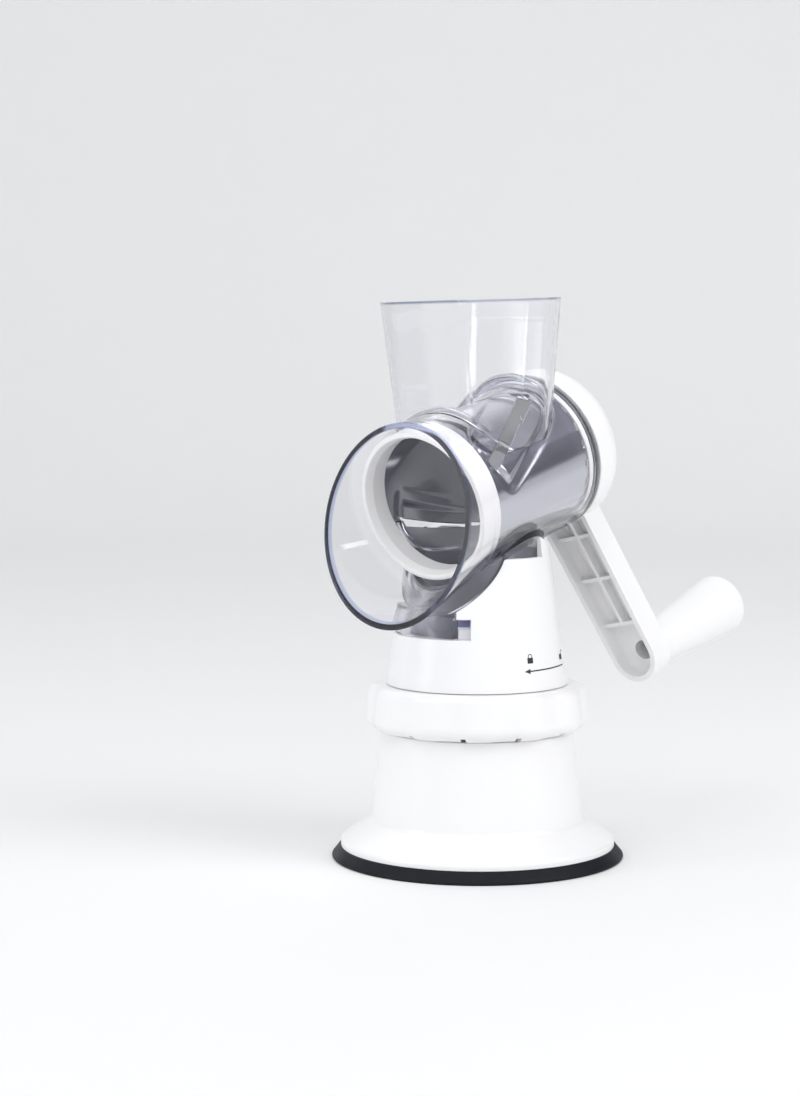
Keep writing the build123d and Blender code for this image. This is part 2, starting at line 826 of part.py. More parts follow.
def grip_frame():
    return barrel_frame * arm_frame * Pos(0, -arm_length, 0)


def grip_pin():
    """Headed pin in the spigot's well, with a bulb that the grip snaps over."""
    grip_front = arm_back - grip_washer - air_gap
    tip = grip_front - grip_length + grip_bore_end + air_gap
    pin = disc(grip_pin_head_radius, spigot_seat, spigot_seat + grip_pin_head)
    pin += disc(grip_pin_radius, tip, spigot_seat)
    pin += disc(grip_bulb_radius, tip, tip + grip_bulb)
    return grip_frame() * pin


def grip_slide_washer():
    ring = tube(grip_washer_radius, spigot_radius + press_gap, arm_back - grip_washer, arm_back)
    return grip_frame() * ring


def grip():
    """Handle that swells towards its rounded end, with a bore and a chamber for the pin's bulb."""
    front = arm_back - grip_washer - air_gap
    back = front - grip_length
    body = turned(
        (0, front),
        (grip_root_radius, front, grip_root_round),
        (grip_end_radius, back, grip_end_round),
        (0, back),
    )
    body -= disc(spigot_radius + run_gap, spigot_end - air_gap, front)
    body -= disc(grip_pin_radius + run_gap, back + grip_bore_end, front)
    body -= disc(grip_bulb_radius + air_gap, back + grip_bore_end, back + grip_bore_end + grip_chamber)
    return grip_frame() * body


nodes = {
    "suction_pad": suction_pad(),
    "base_shell": base_shell(),
    "column": column(),
    "column_screws": column_screws(),
    "lock_ring": lock_ring(),
    "ring_washer": ring_slide_washer(),
    "pull_post": pull_post(),
    "cross_pin": cross_pin(),
    "return_spring": return_spring(),
    "spring_cup": spring_cup_washer(),
    "housing": housing(),
    "shaft_bush": shaft_bush(),
    "drive_shaft": drive_shaft(),
    "shaft_clip": shaft_clip(),
    "crank": crank(),
    "crank_screw": crank_screw(),
    "drum_front_ring": drum_front_ring(),
    "drum_sleeve": drum_sleeve(),
    "drum_rear_hub": drum_rear_hub(),
    "grip": grip(),
    "grip_pin": grip_pin(),
    "grip_washer": grip_slide_washer(),
}

os.makedirs("parts", exist_ok=True)
for name, shape in nodes.items():
    solids = Compound(children=shape) if isinstance(shape, list) else shape
    export_step(solids, os.path.join("parts", name + ".step"))
    print(name, "written")
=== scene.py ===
import bpy
import bmesh
import math
from mathutils import Matrix, Vector


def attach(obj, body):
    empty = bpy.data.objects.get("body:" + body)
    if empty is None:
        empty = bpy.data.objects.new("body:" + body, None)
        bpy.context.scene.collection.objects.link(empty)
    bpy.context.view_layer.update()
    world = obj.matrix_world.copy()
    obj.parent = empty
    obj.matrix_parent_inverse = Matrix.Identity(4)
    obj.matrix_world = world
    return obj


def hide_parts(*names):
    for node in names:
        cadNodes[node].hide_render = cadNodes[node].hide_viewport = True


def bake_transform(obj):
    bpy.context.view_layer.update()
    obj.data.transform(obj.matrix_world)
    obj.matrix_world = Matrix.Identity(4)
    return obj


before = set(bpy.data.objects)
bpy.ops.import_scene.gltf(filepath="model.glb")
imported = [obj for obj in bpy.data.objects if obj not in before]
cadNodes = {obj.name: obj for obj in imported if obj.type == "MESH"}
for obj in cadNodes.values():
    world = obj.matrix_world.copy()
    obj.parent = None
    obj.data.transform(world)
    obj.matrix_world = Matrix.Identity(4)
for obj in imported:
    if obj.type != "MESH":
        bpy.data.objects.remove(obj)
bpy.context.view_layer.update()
print("frame loaded with", len(cadNodes), "nodes")

# the barrel leans forward and down; lengths along it run from the foot's axis towards the mouth
barrel = {"height": 0.1678, "tilt": 15.0}
barrelTilt = math.radians(barrel["tilt"])
barrelUp = Vector((0, -math.sin(barrelTilt), math.cos(barrelTilt)))
barrelForward = Vector((0, -math.cos(barrelTilt), -math.sin(barrelTilt)))


def barrelPoint(across, up, forward):
    return Vector((across, 0, barrel["height"])) + barrelUp * up + barrelForward * forward


def roundPoint(angle, radius, forward):  # angle from the top towards +X
    return barrelPoint(radius * math.sin(angle), radius * math.cos(angle), forward)


def newPiece(name, mesh, body, material):
    piece = bpy.data.objects.new(name, mesh)
    bpy.context.scene.collection.objects.link(piece)
    mesh.materials.append(material)
    for face in mesh.polygons:
        face.use_smooth = True
    if body:
        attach(piece, body)
    return piece


def finishMesh(shape, name):
    bmesh.ops.recalc_face_normals(shape, faces=shape.faces)
    mesh = bpy.data.meshes.new(name)
    shape.to_mesh(mesh)
    shape.free()
    return mesh


def smoothStep(low, high, value):
    share = min(1.0, max(0.0, (value - low) / (high - low)))
    return share * share * (3 - 2 * share)


# shader groups, built once and placed in several finishes
grainLook = {
    "peelDetail": 2.0, "glossDetail": (1.0, 0.4), "glossFrom": (0.3, 0.7),
    "markDetail": (6.0, 0.7), "markStretch": (1.0, 1.0, 0.12), "markTurn": (0.5, 0.9, 0.2), "markFrom": (0.60, 0.74),
    "lineStretch": (1.0, 0.02, 1.0), "lineDetail": (3.0, 0.6), "cloudDetail": (4.0, 0.55), "cloudFrom": (0.3, 0.7),
}


def startGroup(name, inputs, outputs):
    group = bpy.data.node_groups.new(name, "ShaderNodeTree")
    for label, value in inputs:
        socket = group.interface.new_socket(name=label, in_out="INPUT", socket_type="NodeSocketFloat")
        socket.default_value = value
    for label, kind in outputs:
        group.interface.new_socket(name=label, in_out="OUTPUT", socket_type=kind)
    return group, group.nodes.new("NodeGroupInput"), group.nodes.new("NodeGroupOutput")


def mathNode(tree, operation, first, second):
    node = tree.nodes.new("ShaderNodeMath")
    node.operation = operation
    for index, value in enumerate((first, second)):
        if isinstance(value, (int, float)):
            node.inputs[index].default_value = value
        else:
            tree.links.new(value, node.inputs[index])
    return node.outputs[0]


def noiseNode(tree, vector, scale, detail=3.0, roughness=0.5):
    node = tree.nodes.new("ShaderNodeTexNoise")
    node.inputs["Detail"].default_value = detail
    node.inputs["Roughness"].default_value = roughness
    if isinstance(scale, (int, float)):
        node.inputs["Scale"].default_value = scale
    else:
        tree.links.new(scale, node.inputs["Scale"])
    tree.links.new(vector, node.inputs["Vector"])
    return node.outputs["Fac"]


def rangeNode(tree, value, fromLow, fromHigh, toLow, toHigh):
    node = tree.nodes.new("ShaderNodeMapRange")
    node.interpolation_type = "SMOOTHSTEP"
    tree.links.new(value, node.inputs["Value"])
    for label, number in (("From Min", fromLow), ("From Max", fromHigh), ("To Min", toLow), ("To Max", toHigh)):
        node.inputs[label].default_value = number
    return node.outputs["Result"]


def alongNode(tree, vector, direction):  # distance along a direction
    node = tree.nodes.new("ShaderNodeVectorMath")
    node.operation = "DOT_PRODUCT"
    node.inputs[1].default_value = direction
    tree.links.new(vector, node.inputs[0])
    return node.outputs["Value"]


def mouldGrainGroup():
    # faint orange peel, slow gloss changes and fine handling marks of a moulded surface
    group, given, made = startGroup(
        "mouldGrain",
        [("Grain Scale", 900.0), ("Gloss Scale", 28.0), ("Mark Scale", 160.0)],
        [("Height", "NodeSocketFloat"), ("Gloss", "NodeSocketFloat"), ("Marks", "NodeSocketFloat")],
    )
    place = group.nodes.new("ShaderNodeTexCoord").outputs["Object"]
    peel = noiseNode(group, place, given.outputs["Grain Scale"], grainLook["peelDetail"])
    gloss = noiseNode(group, place, given.outputs["Gloss Scale"], *grainLook["glossDetail"])
    stretch = group.nodes.new("ShaderNodeMapping")
    stretch.inputs["Scale"].default_value = grainLook["markStretch"]
    stretch.inputs["Rotation"].default_value = grainLook["markTurn"]
    group.links.new(place, stretch.inputs["Vector"])
    marks = noiseNode(group, stretch.outputs["Vector"], given.outputs["Mark Scale"], *grainLook["markDetail"])
    group.links.new(peel, made.inputs["Height"])
    group.links.new(gloss, made.inputs["Gloss"])
    group.links.new(rangeNode(group, marks, *grainLook["markFrom"], 0.0, 1.0), made.inputs["Marks"])
    return group


def metalGrainGroup():
    # drawn lines along the barrel, crossed by slow cloudy bands
    group, given, made = startGroup(
        "metalGrain",
        [("Line Scale", 1400.0), ("Cloud Scale", 40.0)],
        [("Height", "NodeSocketFloat"), ("Cloud", "NodeSocketFloat")],
    )
    place = group.nodes.new("ShaderNodeTexCoord").outputs["Object"]
    turn = group.nodes.new("ShaderNodeMapping")
    turn.inputs["Rotation"].default_value = (-barrelTilt, 0.0, 0.0)
    group.links.new(place, turn.inputs["Vector"])
    stretch = group.nodes.new("ShaderNodeMapping")
    stretch.inputs["Scale"].default_value = grainLook["lineStretch"]
    group.links.new(turn.outputs["Vector"], stretch.inputs["Vector"])
    lines = noiseNode(group, stretch.outputs["Vector"], given.outputs["Line Scale"], *grainLook["lineDetail"])
    cloud = noiseNode(group, turn.outputs["Vector"], given.outputs["Cloud Scale"], *grainLook["cloudDetail"])
    group.links.new(lines, made.inputs["Height"])
    group.links.new(cloud, made.inputs["Cloud"])
    return group


mouldGrain = mouldGrainGroup()
metalGrain = metalGrainGroup()
print("shader groups ready")


def startFinish(name):
    material = bpy.data.materials.new(name)
    material.use_nodes = True
    tree = material.node_tree
    return material, tree, tree.nodes["Principled BSDF"]


def placeGroup(tree, group, values):
    node = tree.nodes.new("ShaderNodeGroup")
    node.node_tree = group
    for label, value in values.items():
        node.inputs[label].default_value = value
    return node


def mixColour(tree, share, first, second):
    node = tree.nodes.new("ShaderNodeMix")
    node.data_type = "RGBA"
    tree.links.new(share, node.inputs["Factor"])
    for label, colour in (("A", first), ("B", second)):
        socket = [s for s in node.inputs if s.name == label and s.type == "RGBA"][0]
        if isinstance(colour, tuple):
            socket.default_value = (*colour, 1.0)
        else:
            tree.links.new(colour, socket)
    return [s for s in node.outputs if s.type == "RGBA"][0]


def bumpFrom(tree, height, strength, distance):
    node = tree.nodes.new("ShaderNodeBump")
    node.inputs["Strength"].default_value = strength
    node.inputs["Distance"].default_value = distance
    tree.links.new(height, node.inputs["Height"])
    return node.outputs["Normal"]


def mouldedFinish(name, look):
    material, tree, shader = startFinish(name)
    grain = placeGroup(tree, mouldGrain, {
        "Grain Scale": look["grainScale"], "Gloss Scale": look["glossScale"], "Mark Scale": look["markScale"],
    })
    tone = mixColour(tree, grain.outputs["Gloss"], look["colour"], look["secondColour"])
    tree.links.new(mixColour(tree, grain.outputs["Marks"], tone, look["markColour"]), shader.inputs["Base Color"])
    gloss = rangeNode(tree, grain.outputs["Gloss"], *grainLook["glossFrom"], *look["roughness"])
    marked = mathNode(tree, "MULTIPLY", grain.outputs["Marks"], look["markRoughness"])
    tree.links.new(mathNode(tree, "ADD", gloss, marked), shader.inputs["Roughness"])
    normal = bumpFrom(tree, grain.outputs["Height"], look["bump"], look["bumpDepth"])
    tree.links.new(normal, shader.inputs["Normal"])
    shader.inputs["IOR"].default_value = look["ior"]
    shader.inputs["Specular IOR Level"].default_value = look.get("shine", 0.5)
    shader.inputs["Coat Weight"].default_value = look["coat"]
    shader.inputs["Coat Roughness"].default_value = look["coatRoughness"]
    return material


whiteLook = {
    "colour": (0.878, 0.878, 0.882), "secondColour": (0.892, 0.892, 0.892), "markColour": (0.874, 0.874, 0.878),
    "roughness": (0.285, 0.33), "markRoughness": 0.02, "grainScale": 700.0, "glossScale": 22.0, "markScale": 140.0,
    "bump": 0.04, "bumpDepth": 0.0002, "ior": 1.5, "coat": 0.25, "coatRoughness": 0.12,
}
trimLook = {
    "colour": (0.90, 0.895, 0.89), "secondColour": (0.92, 0.915, 0.91), "markColour": (0.86, 0.855, 0.85),
    "roughness": (0.34, 0.44), "markRoughness": 0.06, "grainScale": 900.0, "glossScale": 30.0, "markScale": 180.0,
    "bump": 0.05, "bumpDepth": 0.0002, "ior": 1.5, "coat": 0.0, "coatRoughness": 0.2,
}
nylonLook = {
    "colour": (0.78, 0.76, 0.70), "secondColour": (0.83, 0.81, 0.76), "markColour": (0.70, 0.68, 0.62),
    "roughness": (0.42, 0.55), "markRoughness": 0.08, "grainScale": 1200.0, "glossScale": 60.0, "markScale": 260.0,
    "bump": 0.08, "bumpDepth": 0.0002, "ior": 1.53, "coat": 0.0, "coatRoughness": 0.2,
}
rubberLook = {
    "colour": (0.004, 0.005, 0.008), "secondColour": (0.009, 0.010, 0.014), "markColour": (0.020, 0.021, 0.027),
    "roughness": (0.42, 0.58), "markRoughness": 0.10, "grainScale": 1500.0, "glossScale": 45.0, "markScale": 210.0,
    "bump": 0.18, "bumpDepth": 0.0002, "ior": 1.52, "coat": 0.0, "coatRoughness": 0.3, "shine": 0.18,
}
whiteShell = mouldedFinish("whiteShell", whiteLook)
whiteTrim = mouldedFinish("whiteTrim", trimLook)
naturalNylon = mouldedFinish("naturalNylon", nylonLook)
blackRubber = mouldedFinish("blackRubber", rubberLook)


def metalFinish(name, look):
    material, tree, shader = startFinish(name)
    grain = placeGroup(tree, metalGrain, {"Line Scale": look["lineScale"], "Cloud Scale": look["cloudScale"]})
    colour = mixColour(tree, grain.outputs["Cloud"], look["colour"], look["secondColour"])
    tree.links.new(colour, shader.inputs["Base Color"])
    rough = rangeNode(tree, grain.outputs["Cloud"], *grainLook["cloudFrom"], *look["roughness"])
    tree.links.new(rough, shader.inputs["Roughness"])
    normal = bumpFrom(tree, grain.outputs["Height"], look["bump"], look["bumpDepth"])
    tree.links.new(normal, shader.inputs["Normal"])
    shader.inputs["Metallic"].default_value = 1.0
    shader.inputs["Anisotropic"].default_value = look["anisotropy"]
    return material


sheetLook = {
    "colour": (0.565, 0.57, 0.61), "secondColour": (0.64, 0.645, 0.69), "roughness": (0.10, 0.17),
    "lineScale": 1500.0, "cloudScale": 35.0, "bump": 0.06, "bumpDepth": 0.00012, "anisotropy": 0.3,
}
steelLook = {
    "colour": (0.52, 0.52, 0.53), "secondColour": (0.60, 0.60, 0.61), "roughness": (0.29, 0.40),
    "lineScale": 2600.0, "cloudScale": 90.0, "bump": 0.08, "bumpDepth": 0.0001, "anisotropy": 0.0,
}
stainlessSheet = metalFinish("stainlessSheet", sheetLook)
drawnSteel = metalFinish("drawnSteel", steelLook)

# places of the clear moulding painted darker in the base colour (painted shade at the apron, rims, neck and lock
# tab)
# or made duller: planes by point, lean and the depths where the tint starts and is full, and the radius about the
# column's axis where it starts and is full
clearLook = {
    "colour": (0.988, 0.988, 0.994), "roughness": 0.02, "ior": 1.5,
    "waveScale": 55.0, "waveDetail": 2.0, "wave": 0.02, "waveDepth": 0.0004,
    "absorbColour": (0.50, 0.56, 0.85), "absorbDensity": 14.0, "shadowTint": (0.95, 0.95, 0.97),
    "edges": [
        # painted shade: apron tinted darker where the dark hollow of the column shows behind it
        {"planes": [((0, 0, 0.112), (0, 0, -1), (0.0005, -0.0005))], "colour": (0.88, 0.87, 0.91)},  # apron
        # painted shade: darker grey-blue tint on the chute rim for the dark look of a clear edge
        {"planes": [((0, -0.00496, 0.2470), (0, -0.0436, 0.9990), (0.0014, 0.0004))],
         "colour": (0.55, 0.58, 0.68)},  # chute rim
        # painted shade: navy tint on the mouth rim for the dark edge that internal reflection gives
        {"planes": [((0, -0.05457, 0.15318), (0, -0.9912, 0.1323), (0.0024, 0.0012))],
         "colour": (0.40, 0.46, 0.72), "roughness": 0.22},  # mouth rim
        # painted shade: faint bluish darkening on the neck below the barrel
        {"planes": [((0, 0, 0.1405), (0, 0, -1), (0.0005, -0.0005))], "radius": (0.0307, 0.0302),
         "colour": (0.92, 0.92, 0.96)},  # neck
        {"planes": [((0, 0.03912, 0.17828), (0, 0.9659, 0.2588), (0.0002, -0.0004))],
         "colour": (0.988, 0.988, 0.994), "roughness": 0.55},  # rear edge of the barrel
        # painted shadow: navy band along the top of the lock tab, under the slot's roof
        {"planes": [((0, 0, 0.1060), (0, 0, 1), (0.0001, -0.0001)), ((0, 0, 0.1100), (0, 0, -1), (0.0001, -0.0001)),
                    ((0, 0, 0), (0.903, 0.431, 0), (0.0001, -0.0001))],
         "radius": (0.0312, 0.0316), "colour": (0.13, 0.15, 0.30)},  # top of the lock tab
        {"planes": [((0, 0.00789, 0.13834), (0, 0.2588, -0.9659), (0.0015, -0.0015))], "radius": (0.0345, 0.0325),
         "colour": (0.97, 0.97, 0.985), "roughness": 0.25},  # underside above the neck
    ],
}


def clearFinish():
    material, tree, shader = startFinish("clearPlastic")
    place = tree.nodes.new("ShaderNodeTexCoord").outputs["Object"]
    level = tree.nodes.new("ShaderNodeVectorMath")
    level.operation = "MULTIPLY"
    level.inputs[1].default_value = (1, 1, 0)
    tree.links.new(place, level.inputs[0])
    radius = tree.nodes.new("ShaderNodeVectorMath")
    radius.operation = "LENGTH"
    tree.links.new(level.outputs["Vector"], radius.inputs[0])
    colour, dull = clearLook["colour"], clearLook["roughness"]
    for edge in clearLook["edges"]:
        shares = []
        for point, lean, depths in edge["planes"]:
            start, full = (Vector(lean).dot(Vector(point)) - depth for depth in depths)
            shares.append(rangeNode(tree, alongNode(tree, place, lean), start, full, 0.0, 1.0))
        if "radius" in edge:
            shares.append(rangeNode(tree, radius.outputs["Value"], *edge["radius"], 0.0, 1.0))
        share = shares[0]
        for other in shares[1:]:
            share = mathNode(tree, "MULTIPLY", share, other)
        # mixes each painted shade tint into the base colour
        colour = mixColour(tree, share, colour, edge["colour"])
        if "roughness" in edge:
            dull = mathNode(tree, "MAXIMUM", dull, mathNode(tree, "MULTIPLY", share, edge["roughness"]))
    tree.links.new(colour, shader.inputs["Base Color"])
    wave = noiseNode(tree, place, clearLook["waveScale"], clearLook["waveDetail"])
    tree.links.new(bumpFrom(tree, wave, clearLook["wave"], clearLook["waveDepth"]), shader.inputs["Normal"])
    tree.links.new(dull, shader.inputs["Roughness"])
    shader.inputs["IOR"].default_value = clearLook["ior"]
    shader.inputs["Transmission Weight"].default_value = 1.0
    absorb = tree.nodes.new("ShaderNodeVolumeAbsorption")
    absorb.inputs["Color"].default_value = (*clearLook["absorbColour"], 1.0)
    absorb.inputs["Density"].default_value = clearLook["absorbDensity"]
    output = tree.nodes["Material Output"]
    tree.links.new(absorb.outputs["Volume"], output.inputs["Volume"])
    light = tree.nodes.new("ShaderNodeLightPath")  # lets soft light through on to the drum
    through = tree.nodes.new("ShaderNodeBsdfTransparent")
    through.inputs["Color"].default_value = (*clearLook["shadowTint"], 1.0)
    mixed = tree.nodes.new("ShaderNodeMixShader")
    tree.links.new(light.outputs["Is Shadow Ray"], mixed.inputs["Fac"])
    tree.links.new(shader.outputs["BSDF"], mixed.inputs[1])
    tree.links.new(through.outputs["BSDF"], mixed.inputs[2])
    tree.links.new(mixed.outputs["Shader"], output.inputs["Surface"])
    return material


clearPlastic = clearFinish()

inkLook = {"colour": (0.016, 0.016, 0.018), "worn": (0.06, 0.06, 0.065), "roughness": 0.45, "scale": 1800.0,
           "detail": 3.0, "speckFrom": (0.55, 0.7)}


def inkFinish():
    material, tree, shader = startFinish("printInk")
    place = tree.nodes.new("ShaderNodeTexCoord").outputs["Object"]
    specks = noiseNode(tree, place, inkLook["scale"], inkLook["detail"])
    speck = rangeNode(tree, specks, *inkLook["speckFrom"], 0.0, 1.0)
    tree.links.new(mixColour(tree, speck, inkLook["colour"], inkLook["worn"]), shader.inputs["Base Color"])
    shader.inputs["Roughness"].default_value = inkLook["roughness"]
    return material


printInk = inkFinish()
print("finishes ready")

# finish of each carried-over node
nodeFinish = {
    "base_shell": whiteShell, "column": whiteShell, "lock_ring": whiteShell, "crank": whiteShell, "grip": whiteShell,
    "drum_front_ring": whiteTrim, "drum_rear_hub": whiteTrim, "housing": clearPlastic,
    "drive_shaft": drawnSteel, "shaft_clip": drawnSteel, "cross_pin": drawnSteel, "spring_cup": drawnSteel,
    "crank_screw": drawnSteel, "column_screws": drawnSteel, "grip_pin": drawnSteel,
    "shaft_bush": naturalNylon, "ring_washer": naturalNylon, "grip_washer": naturalNylon, "pull_post": naturalNylon,
    "drum_sleeve": stainlessSheet, "suction_pad": blackRubber, "return_spring": drawnSteel,
}
for name, material in nodeFinish.items():
    mesh = cadNodes[name].data
    mesh.materials.clear()
    mesh.materials.append(material)
print("node finishes set")


# rubber pad under the foot, turned from its section in millimetres
padLook = {
    "section": [
        (0.0, 0.25), (40.0, 0.25), (57.0, 0.12), (62.6, 0.0), (64.2, 0.0), (64.8, 0.25), (65.0, 0.75), (64.85, 1.2),
        (63.2, 3.2), (62.0, 4.75), (61.75, 5.1), (61.3, 5.35), (60.8, 5.4), (50.6, 5.4), (50.3, 5.1), (50.3, 3.8),
        (49.9, 3.4), (16.6, 3.4), (15.4, 3.9), (15.0, 5.0), (15.0, 6.2), (15.0, 7.0), (15.0, 7.9), (14.8, 8.0),
        (0.0, 8.0),
    ],
    "segments": 192, "stretch": (0.0060, 0.0079),
}


def turnedMesh(name, section, segments):
    shape = bmesh.new()
    rings = []
    for radius, height in section:
        if radius < 1e-6:
            rings.append([shape.verts.new((0, 0, height / 1000))])
            continue
        rings.append([
            shape.verts.new((
                radius / 1000 * math.cos(2 * math.pi * step / segments),
                radius / 1000 * math.sin(2 * math.pi * step / segments),
                height / 1000,
            ))
            for step in range(segments)
        ])
    for lower, upper in zip(rings[:-1], rings[1:]):
        for step in range(segments):
            after = (step + 1) % segments
            corners = []
            for ring, picks in ((lower, (step, after)), (upper, (after, step))):
                corners += [ring[0]] if len(ring) == 1 else [ring[pick] for pick in picks]
            shape.faces.new(corners)
    return finishMesh(shape, name)


def makePad():
    mesh = turnedMesh("rubberPad", padLook["section"], padLook["segments"])
    pad = newPiece("rubberPad", mesh, None, blackRubber)
    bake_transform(pad)
    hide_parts("suction_pad")
    print("rubber pad built")


makePad()

# return spring round the post, between the post's flange and the cup
springLook = {"radius": 0.0092, "wire": 0.0008, "low": 0.0114, "high": 0.0448, "turns": 6,
              "perTurn": 48, "around": 12}


def makeSpring():
    shape = bmesh.new()
    rings = []
    count = springLook["turns"] * springLook["perTurn"]
    for step in range(count + 1):
        angle = 2 * math.pi * step / springLook["perTurn"]
        outward = Vector((math.cos(angle), math.sin(angle), 0))
        height = springLook["low"] + (springLook["high"] - springLook["low"]) * step / count
        centre = outward * springLook["radius"] + Vector((0, 0, height))
        ring = []
        for side in range(springLook["around"]):
            turn = 2 * math.pi * side / springLook["around"]
            offset = outward * math.cos(turn) + Vector((0, 0, 1)) * math.sin(turn)
            ring.append(shape.verts.new(centre + offset * springLook["wire"]))
        rings.append(ring)
    for lower, upper in zip(rings[:-1], rings[1:]):
        for side in range(springLook["around"]):
            after = (side + 1) % springLook["around"]
            shape.faces.new((lower[side], lower[after], upper[after], upper[side]))
    shape.faces.new(rings[0])
    shape.faces.new(rings[-1][::-1])
    mesh = finishMesh(shape, "springCoil")
    spring = newPiece("springCoil", mesh, None, drawnSteel)
    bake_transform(spring)
    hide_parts("return_spring")
    print("spring built")


makeSpring()

# slicing sleeve: two skewed slots, each in a pressed panel with a raised cutting lip above it and a ramp below
sleeveLook = {
    "radius": 0.0324, "sheet": 0.0007, "front": 0.0330, "rear": -0.0378, "slots": 2, "firstSlot": 42.7, "skew": 25.4,
    "middle": -0.0032, "slitHalf": 0.0026, "slitFront": 0.0227, "slitRear": -0.0290,
    "panelHalf": (0.0324, 0.0175), "corners": (0.016, 0.006), "panelDrop": 0.0005, "border": 0.0030,
    "lipRise": 0.0013, "lipFlat": 0.0078, "lipFoot": 0.0116, "lipEnd": (0.0260, 0.0290),
    "rampDrop": 0.0010, "rampReach": 1.4, "rowGap": 0.0004,
    "fade": (-0.0335, -0.0300, 0.0250, 0.0275), "steps": 432, "rows": 84,
    "crimps": 24, "crimpSteps": 6, "crimpPlace": (-0.0371, -0.0361),
}


def panelDepth(along, across):  # distance into the panel, whose corners are round in two sizes
    halfLong, halfWide = sleeveLook["panelHalf"]
    corner = sleeveLook["corners"][0 if along * across < 0 else 1]
    outLong, outWide = abs(along) - (halfLong - corner), abs(across) - (halfWide - corner)
    return corner - math.hypot(max(outLong, 0), max(outWide, 0)) - min(max(outLong, outWide), 0)


def sleeveOffset(along, across, forward):
    look = sleeveLook
    edge = smoothStep(0, look["border"], panelDepth(along, across))
    rearFoot, rearFull, frontFull, frontFoot = look["fade"]
    edge *= smoothStep(rearFoot, rearFull, forward) * smoothStep(-frontFoot, -frontFull, -forward)
    offset = -look["panelDrop"] * edge
    if across > 0:
        rise = 1 - smoothStep(look["lipFlat"], look["lipFoot"], across)
        return offset + look["lipRise"] * rise * edge * (1 - smoothStep(*look["lipEnd"], abs(along)))
    return offset - look["rampDrop"] * edge * (1 - smoothStep(0, look["panelHalf"][1] * look["rampReach"], -across))


def makeSleeve():
    look = sleeveLook
    shape = bmesh.new()
    skew = math.radians(look["skew"])
    first = math.radians(look["firstSlot"])
    slotPitch = 2 * math.pi / look["slots"]
    pitch = 2 * math.pi / look["steps"]
    fixed = {look["front"], look["rear"], look["slitFront"], look["slitRear"], *look["crimpPlace"]}
    evenly = [look["rear"] + (look["front"] - look["rear"]) * row / look["rows"] for row in range(look["rows"] + 1)]
    rows = sorted(fixed | {row for row in evenly if min(abs(row - place) for place in fixed) > look["rowGap"]})

    def aside(angle):  # arc from the nearest slot's line, along the round
        return ((angle - first + slotPitch / 2) % slotPitch - slotPitch / 2) * look["radius"]

    angles = [pitch * step for step in range(look["steps"])]  # each mesh line runs along the skewed slots
    for slot in range(look["slots"]):
        for edge in (-look["slitHalf"], look["slitHalf"]):
            wanted = (first + slot * slotPitch + edge / math.cos(skew) / look["radius"]) % (2 * math.pi)
            angles[round(wanted / pitch) % look["steps"]] = wanted
    grid = []
    for forward in rows:
        reach = forward - look["middle"]
        row = []
        for angle in angles:
            arc = aside(angle)
            offset = sleeveOffset(reach / math.cos(skew) + arc * math.sin(skew), arc * math.cos(skew), forward)
            turn = angle + reach * math.tan(skew) / look["radius"]
            row.append(shape.verts.new(roundPoint(turn, look["radius"] + offset, forward)))
        grid.append(row)
    crimpPitch = look["steps"] // look["crimps"]
    for level in range(len(rows) - 1):
        middle = (rows[level] + rows[level + 1]) / 2
        inSlot = look["slitRear"] < middle < look["slitFront"]
        inCrimp = look["crimpPlace"][0] < middle < look["crimpPlace"][1]
        for step in range(look["steps"]):
            after = (step + 1) % look["steps"]
            centre = aside(angles[step] + ((angles[after] - angles[step]) % (2 * math.pi)) / 2) * math.cos(skew)
            if inSlot and abs(centre) < look["slitHalf"] or inCrimp and step % crimpPitch < look["crimpSteps"]:
                continue
            shape.faces.new((grid[level][step], grid[level][after], grid[level + 1][after], grid[level + 1][step]))
    mesh = finishMesh(shape, "slicingSleeve")
    sleeve = newPiece("slicingSleeve", mesh, "drum", stainlessSheet)
    thick = sleeve.modifiers.new("sheet", "SOLIDIFY")
    thick.thickness = look["sheet"]
    thick.offset = -1.0
    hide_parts("drum_sleeve")
    print("slicing sleeve built with", len(mesh.polygons), "faces")


makeSleeve()

# printed lock marks on the column: closed lock, arrow towards it and open lock
markLook = {
    "lift": 0.00005, "columnFoot": (0.0778, 0.0403), "columnTop": (0.1350, 0.0325),
    "closedLock": (76.0, 0.0900), "openLock": (110.5, 0.0896), "arrow": ((113.0, 0.0872), (72.4, 0.0866)),
    "lockWidth": 0.0030, "lockHeight": 0.0024, "lockSteps": 6, "wrapRadius": 0.0385,
    "shackle": 0.0011, "shackleLine": 0.00035, "shackleRise": 0.0006, "shackleShift": 1.6, "shackleSteps": 12,
    "line": 0.00028, "arrowSteps": 24, "head": (0.0009, 0.0021, 0.0011),
}


def columnPoint(angle, height):
    (lowHeight, lowRadius), (topHeight, topRadius) = markLook["columnFoot"], markLook["columnTop"]
    radius = lowRadius + (topRadius - lowRadius) * (height - lowHeight) / (topHeight - lowHeight) + markLook["lift"]
    return Vector((radius * math.sin(angle), -radius * math.cos(angle), height))


def columnPlace(anchor, across, up):
    angle, height = math.radians(anchor[0]), anchor[1] + up
    return columnPoint(angle + across / markLook["wrapRadius"], height)


def inkStrip(shape, left, right):  # band of quads between two rows of points
    first = [shape.verts.new(point) for point in left]
    second = [shape.verts.new(point) for point in right]
    for step in range(len(first) - 1):
        shape.faces.new((first[step], first[step + 1], second[step + 1], second[step]))


